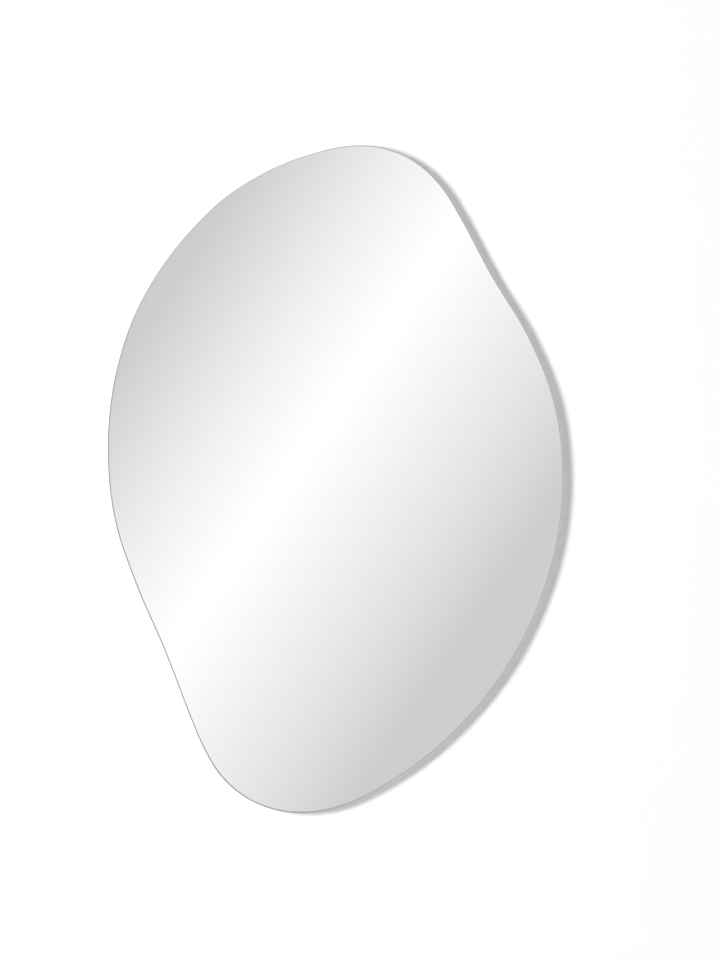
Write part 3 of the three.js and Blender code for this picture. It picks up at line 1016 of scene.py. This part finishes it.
def makeScrew(name, node, material, axis):
    core = bmesh.new()
    turnProfile(core, screw["core"], axis, screw["steps"])
    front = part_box(node)[0].y
    depth, before = screw["recessDepth"], screw["recessStart"]
    cutters = []
    for angle in (0, 90):
        arm = bmesh.new()
        place = Matrix.Translation((axis.x, front + (depth - before) / 2, axis.z))
        turn = Matrix.Rotation(math.radians(angle), 4, "Y")
        size = Matrix.Diagonal((screw["recessSpan"], depth + before, screw["recessSlot"], 1))
        bmesh.ops.create_cube(arm, size=1, matrix=place @ turn @ size)
        deep = [vert for vert in arm.verts if vert.co.y > front]
        taper = Matrix.Diagonal((screw["recessTaper"], 1, screw["recessTaper"], 1))
        bmesh.ops.transform(arm, matrix=taper, space=Matrix.Translation(-axis), verts=deep)
        cutters.append(temporarySolid(arm, "recessArm"))
    bm = combine(temporarySolid(core, "coreSolid"), [], cutters)
    ridge = bmesh.new()
    threadRidge(ridge, axis)
    mesh = meshFrom(ridge, "ridge")
    bm.from_mesh(mesh)
    bpy.data.meshes.remove(mesh)
    return newPiece(bm, name, material, "wall_fixings", node, 40)


def makeWasher(name, node, material, axis):
    bm = bmesh.new()
    turnProfile(bm, washer["profile"], axis, washer["steps"], closed=True)
    return newPiece(bm, name, material, "wall_fixings", node, 40)


yellowZinc = yellowZincFinish()
for side in fixingSides:
    makeScrew("threadedScrew_" + side, "hook_screw_" + side, yellowZinc, screwAxes[side])
    makeWasher("flatWasher_" + side, "hook_washer_" + side, yellowZinc, screwAxes[side])
print("screws and washers ready")


# the wall plugs

wallPlug = {
    "bore": 2.45,
    "radius": 4.0,
    "root": 3.4,
    "length": 40.0,
    "mouth": 7.0,
    "teeth": 8,
    "slot": 0.0012,
    "slotOverrun": 0.001,
    "fin": 0.0011,
    "finEnds": (0.5, 2.0),  # of the mouth's length
    "finSlope": 0.0012,
    "finRounding": 0.00012,
    "steps": 56,
    "colour": (0.36, 0.38, 0.39, 1),
}


def plugProfile():
    bore, radius, root = wallPlug["bore"], wallPlug["radius"], wallPlug["root"]
    pitch = (wallPlug["length"] - wallPlug["mouth"]) / wallPlug["teeth"]
    points = [(bore + 0.25, 0), (radius - 0.12, 0), (radius, 0.12), (radius, wallPlug["mouth"] - 0.1)]
    for tooth in range(wallPlug["teeth"]):
        start = wallPlug["mouth"] + pitch * tooth
        points += [(radius - 0.06, start), (root + 0.08, start + 0.45), (root, start + 0.65)]
        if tooth < wallPlug["teeth"] - 1:
            crest = start + pitch
            points += [(root + 0.05, start + 1.2), (radius - 0.05, crest - 0.25), (radius, crest - 0.1)]
    end = wallPlug["length"]
    middle = (root + bore) / 2
    points += [(middle + 0.2, end - 0.5), (middle, end - 0.12), (middle - 0.12, end)]
    points += [(bore + 0.05, end), (bore, end - 0.1), (bore, 0.25)]
    return points


def makePlug(name, node, material, axis):
    body = bmesh.new()
    turnProfile(body, plugProfile(), axis, wallPlug["steps"], closed=True)
    length = wallPlug["length"] * millimetre
    mouth = wallPlug["mouth"] * millimetre
    radius = wallPlug["radius"] * millimetre
    first, last = (share * mouth for share in wallPlug["finEnds"])
    middle = (first + last) / 2
    fins = []
    for sign in (-1, 1):
        fin = bmesh.new()
        size = Matrix.Diagonal((wallPlug["fin"], last - first, wallPlug["fin"], 1))
        bmesh.ops.create_cube(
            fin, size=1, matrix=Matrix.Translation((axis.x + sign * radius, middle, axis.z)) @ size,
        )
        tail = [
            vert for vert in fin.verts
            if vert.co.y > middle and (vert.co.x - axis.x) * sign > radius
        ]
        bmesh.ops.translate(fin, verts=tail, vec=(-sign * wallPlug["fin"] / 2, -wallPlug["finSlope"], 0))
        softenEdges(fin, wallPlug["finRounding"], 2, 20)
        fins.append(temporarySolid(fin, "finSolid"))
    slot = bmesh.new()
    slotEnd = length + wallPlug["slotOverrun"]
    size = Matrix.Diagonal((wallPlug["slot"], slotEnd - mouth, 3 * radius, 1))
    bmesh.ops.create_cube(
        slot, size=1, matrix=Matrix.Translation((axis.x, (slotEnd + mouth) / 2, axis.z)) @ size,
    )
    bm = combine(temporarySolid(body, "plugSolid"), fins, [temporarySolid(slot, "slotSolid")])
    return newPiece(bm, name, material, "wall_fixings", node, 35)


greyNylon = nylonFinish("greyNylon", wallPlug["colour"], 0.0005)
for side in fixingSides:
    makePlug("nylonPlug_" + side, "wall_plug_" + side, greyNylon, screwAxes[side])
print("plugs ready")


# the studio: a white wall, a pale floor, one soft lamp in front and one behind

studio = {
    "paneDepth": -0.018,
    "cameraDistance": 4.0,
    "cameraMiddle": (0.0291, -0.0012),
    "frameHeight": 1.1498,
    "keyDirection": (-0.61, -1.0, 0.12),
    "keyDistance": 3.5,
    "keyDiameter": 1.2,
    "keyWatts": 109.0,
    "rearDirection": (0.55, 1.0, 0.45),
    "rearDistance": 3.4,
    "rearDiameter": 1.6,
    "rearWatts": 70.0,
    "fill": 0.25,
    "wallTone": 0.9,
    "floorTone": 0.56,  # so that the floor gives the wall about as much light as the rest of the studio
    "wallGlow": 0.205,
    "floorGlow": 1.07,
    "wallFade": (0.5, 0.9),
    "floorFade": (1.8, 3.4),
    "floorDrop": 1.35,
    "sheetReach": 9.0,
    "bandAcross": -3316.0,  # the white band's slant, as the view turns and rises
    "bandUpward": 2236.0,
    "bandStart": 377.0,
    "bandRepeat": 900.0,
    "reflected": 1.075,  # what the glass and silver take away is given back here
    "dimLevel": 0.4,  # what the arris sees at the right, about a quarter of a right angle off the middle
    "darkLevel": 0.16,  # what it sees at the lower left, where it looks up to the right
    "darkWay": (0.66, 0.75),
    "darkRange": (0.1, 0.39),
    "litLevel": 1.0,  # what it sees at the top left, where it looks down to the right
    "litWay": (0.42, -0.91),
    "litRange": (0.27, 0.39),
}


def stageSheet(name, corners, material):
    bm = bmesh.new()
    bm.faces.new([bm.verts.new(corner) for corner in corners])
    mesh = meshFrom(bm, name)
    mesh.materials.append(material)
    sheet = linked(name, mesh)
    return sheet


def stageFinish(name, tone, glow, fade, seenByLight):
    # seen from its front side only; it fades into the white round it between two distances from the middle,
    # and unless seenByLight, only the camera sees it, straight or through glass
    material = bpy.data.materials.new(name)
    material.use_nodes = True
    tree = material.node_tree
    tree.nodes.remove(tree.nodes["Principled BSDF"])
    matt = tree.nodes.new("ShaderNodeBsdfDiffuse")
    place = tree.nodes.new("ShaderNodeTexCoord").outputs["Object"]
    grain = grained(tree, place, 0.004, 0.004).outputs["Tone"]
    plug(tree, tinted(tree, grain, (tone, tone, tone, 1)), matt.inputs["Color"])
    light = tree.nodes.new("ShaderNodeEmission")
    light.inputs["Color"].default_value = (tone, tone, tone, 1)
    both = tree.nodes.new("ShaderNodeAddShader")
    plug(tree, matt.outputs[0], both.inputs[0])
    plug(tree, light.outputs[0], both.inputs[1])
    clear = tree.nodes.new("ShaderNodeBsdfTransparent")
    back = tree.nodes.new("ShaderNodeNewGeometry").outputs["Backfacing"]
    rays = tree.nodes.new("ShaderNodeLightPath").outputs
    looking = calc(tree, "MAXIMUM", rays["Is Camera Ray"], rays["Is Transmission Ray"])
    plug(tree, times(tree, looking, glow), light.inputs["Strength"])
    length = tree.nodes.new("ShaderNodeVectorMath")
    length.operation = "LENGTH"
    plug(tree, place, length.inputs[0])
    near = spread(tree, length.outputs["Value"], fade[0], fade[1], 1.0, 0.0)
    shown = times(tree, near, calc(tree, "SUBTRACT", 1.0, back))
    if not seenByLight:
        shown = times(tree, shown, looking)
    mix = tree.nodes.new("ShaderNodeMixShader")
    plug(tree, shown, mix.inputs[0])
    plug(tree, clear.outputs[0], mix.inputs[1])
    plug(tree, both.outputs[0], mix.inputs[2])
    plug(tree, mix.outputs[0], tree.nodes["Material Output"].inputs["Surface"])
    return material


def makeStage():
    reach = studio["sheetReach"]
    drop = -studio["floorDrop"]
    stageSheet(
        "wall",
        [(-reach, 0, drop), (reach, 0, drop), (reach, 0, reach), (-reach, 0, reach)],
        stageFinish("wallPaint", studio["wallTone"], studio["wallGlow"], studio["wallFade"], False),
    )
    floor = stageSheet(
        "floor",
        [(-reach, -reach, drop), (reach, -reach, drop), (reach, reach, drop), (-reach, reach, drop)],
        stageFinish("floorPaint", studio["floorTone"], studio["floorGlow"], studio["floorFade"], True),
    )
    floor.visible_glossy = False
    floor.visible_transmission = False


def softLamp(name, direction, distance, diameter, watts):
    light = bpy.data.lights.new(name, "AREA")
    light.shape = "DISK"
    light.size = diameter
    light.energy = watts
    lamp = linked(name, light)
    towards = Vector(direction).normalized()
    lamp.location = towards * distance
    lamp.rotation_euler = (-towards).to_track_quat("-Z", "Y").to_euler()
    lamp.visible_transmission = False
    return lamp


def makeWorld():
    world = bpy.data.worlds.new("whiteStudio")
    bpy.context.scene.world = world
    world.use_nodes = True
    tree = world.node_tree
    tree.nodes.clear()
    direction = tree.nodes.new("ShaderNodeTexCoord").outputs["Generated"]
    across, depth, upward = splitVector(tree, direction)
    turn = calc(tree, "ARCTAN2", across, times(tree, depth, -1.0))
    rise = calc(tree, "ARCSINE", upward)
    slant = calc(tree, "MULTIPLY_ADD", turn, studio["bandAcross"], studio["bandStart"])
    slant = calc(tree, "MULTIPLY_ADD", rise, studio["bandUpward"], slant)
    part = calc(tree, "FRACT", calc(tree, "DIVIDE", slant, studio["bandRepeat"]))
    bands = colourRamp(tree, part, (
        (0.0, (0.603, 0.603, 0.607)),
        (0.193, (0.613, 0.611, 0.615)),
        (0.3, (0.777, 0.757, 0.77)),
        (0.487, (1.0, 0.976, 0.989)),
        (0.514, (1.0, 0.976, 0.989)),
        (0.613, (0.868, 0.847, 0.861)),
        (0.691, (0.737, 0.73, 0.737)),
        (0.772, (0.603, 0.603, 0.607)),
    ))
    # the ring that the arris sees, by how far the view is off the middle, as a share of a right angle
    away = calc(tree, "DIVIDE", calc(tree, "ARCCOSINE", times(tree, depth, -1.0)), math.pi / 2)
    ring = colourRamp(tree, away, (
        (0.0, (0, 0, 0)), (0.12, (0, 0, 0)), (0.19, (1, 1, 1)), (0.29, (1, 1, 1)), (0.34, (0.1, 0.1, 0.1)),
    ))
    level = studio["dimLevel"]
    for zone in ("dark", "lit"):
        wayAcross, wayUpward = studio[zone + "Way"]
        along = calc(tree, "MULTIPLY_ADD", across, wayAcross, times(tree, upward, wayUpward))
        level = spread(tree, along, *studio[zone + "Range"], level, studio[zone + "Level"])
    seen = blendColours(tree, ring, bands, tinted(tree, level, (1, 1, 1, 1)))
    rays = tree.nodes.new("ShaderNodeLightPath").outputs
    parts = []
    for colour, strength in (
        ((1, 1, 1, 1), studio["fill"]),
        (seen, studio["reflected"]),
        ((1, 1, 1, 1), 1.0),
    ):
        background = tree.nodes.new("ShaderNodeBackground")
        plug(tree, colour, background.inputs["Color"])
        plug(tree, strength, background.inputs["Strength"])
        parts.append(background.outputs[0])
    mirrored = calc(tree, "MAXIMUM", rays["Is Glossy Ray"], rays["Is Transmission Ray"])
    current = parts[0]
    for factor, other in ((mirrored, parts[1]), (rays["Is Camera Ray"], parts[2])):
        mix = tree.nodes.new("ShaderNodeMixShader")
        plug(tree, factor, mix.inputs[0])
        plug(tree, current, mix.inputs[1])
        plug(tree, other, mix.inputs[2])
        current = mix.outputs[0]
    output = tree.nodes.new("ShaderNodeOutputWorld")
    plug(tree, current, output.inputs["Surface"])


def makeCamera():
    data = bpy.data.cameras.new("frontCamera")
    data.lens = 36 * studio["cameraDistance"] / studio["frameHeight"]
    camera = linked("frontCamera", data)
    x, z = studio["cameraMiddle"]
    camera.location = (x, studio["paneDepth"] - studio["cameraDistance"], z)
    camera.rotation_euler = (math.radians(90), 0, 0)
    bpy.context.scene.camera = camera


makeStage()
for role in ("key", "rear"):
    lamp = softLamp(
        role + "Lamp", studio[role + "Direction"], studio[role + "Distance"],
        studio[role + "Diameter"], studio[role + "Watts"],
    )
    lamp.visible_glossy = role == "rear"  # the mirror doesn't show the lamp in front of it
makeWorld()
makeCamera()
bpy.context.scene.view_settings.view_transform = "Standard"
print("studio ready")
